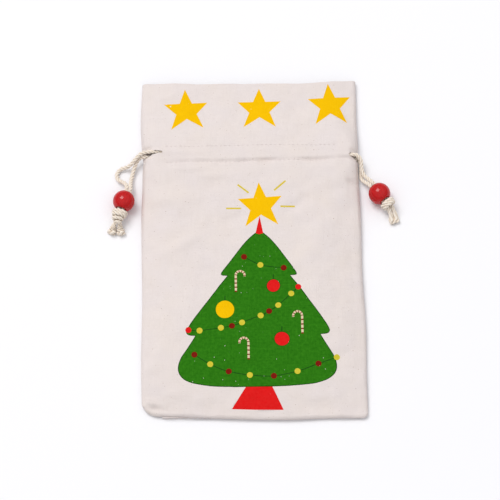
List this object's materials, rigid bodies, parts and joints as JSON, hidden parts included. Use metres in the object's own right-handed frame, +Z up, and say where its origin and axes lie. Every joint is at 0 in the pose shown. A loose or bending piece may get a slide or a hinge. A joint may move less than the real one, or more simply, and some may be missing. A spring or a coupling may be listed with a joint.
{
  "type": "drawstring gift pouch",
  "caption": "Flat-lying cotton gift pouch with a printed front, a stitched drawstring tunnel and two cord pulls, each with a wooden bead held by a knot.",
  "frame": {"origin": "centre of the rectangle that the flat pouch rests on, at the underside of the back panel", "axes": "+Y along the pouch from the bottom seam to the mouth, +X across it to the right pull, +Z up out of the printed front"},
  "size_m": [0.1984, 0.25, 0.015],
  "materials": {
    "printed_cloth": "plain-woven cotton with a flat screen print",
    "cloth": "plain-woven undyed cotton, matte",
    "thread": "spun cotton thread, matte",
    "cord": "soft twisted cotton cord",
    "bead": "red gloss lacquer"
  },
  "bodies": {
    "pouch": {"back_panel": "cloth", "front_panel": "printed_cloth", "back_casing_facing": "cloth", "front_casing_facing": "cloth", "bottom_seam_allowance": "cloth", "front_casing_stitching": "thread", "back_casing_stitching": "thread", "bottom_seam_stitching": "thread"},
    "left_side": {"left_seam_allowance": "cloth", "left_seam_stitching": "thread"},
    "right_side": {"right_seam_allowance": "cloth", "right_seam_stitching": "thread"},
    "left_pull": {"left_cord_runs": "cord", "left_cord_turn": "cord", "left_front_strand": "cord", "left_back_strand": "cord", "left_knot": "cord"},
    "right_pull": {"right_cord_runs": "cord", "right_cord_turn": "cord", "right_front_strand": "cord", "right_back_strand": "cord", "right_knot": "cord"},
    "left_bead": {"left_bead": "bead"},
    "right_bead": {"right_bead": "bead"}
  },
  "joints": [
    {"name": "left_pull_slide", "type": "slide", "parent": "pouch", "child": "left_pull", "axis": [-1, 0, 0], "range_m": [0, 0.03], "deforming": ["left_cord_turn"]},
    {"name": "right_pull_slide", "type": "slide", "parent": "pouch", "child": "right_pull", "axis": [1, 0, 0], "range_m": [0, 0.03], "deforming": ["right_cord_turn"]},
    {"name": "left_side_gather", "type": "hinge", "parent": "pouch", "child": "left_side", "pos_m": [-0.069, -0.125, 0.0065], "axis": [0, 0, -1], "range_deg": [0, 9]},
    {"name": "right_side_gather", "type": "hinge", "parent": "pouch", "child": "right_side", "pos_m": [0.069, -0.125, 0.0065], "axis": [0, 0, 1], "range_deg": [0, 9]},
    {"name": "left_bead_slide", "type": "slide", "parent": "left_pull", "child": "left_bead", "axis": [0.3173, 0.9483, 0], "range_m": [0, 0.003]},
    {"name": "right_bead_slide", "type": "slide", "parent": "right_pull", "child": "right_bead", "axis": [-0.5807, 0.8141, 0], "range_m": [0, 0.003]}
  ],
  "couplings": [
    {"joint": "right_pull_slide", "follows": "left_pull_slide", "ratio": 1},
    {"joint": "left_side_gather", "follows": "left_pull_slide", "rad_per_m": 5.19},
    {"joint": "right_side_gather", "follows": "left_pull_slide", "rad_per_m": 5.19}
  ]
}
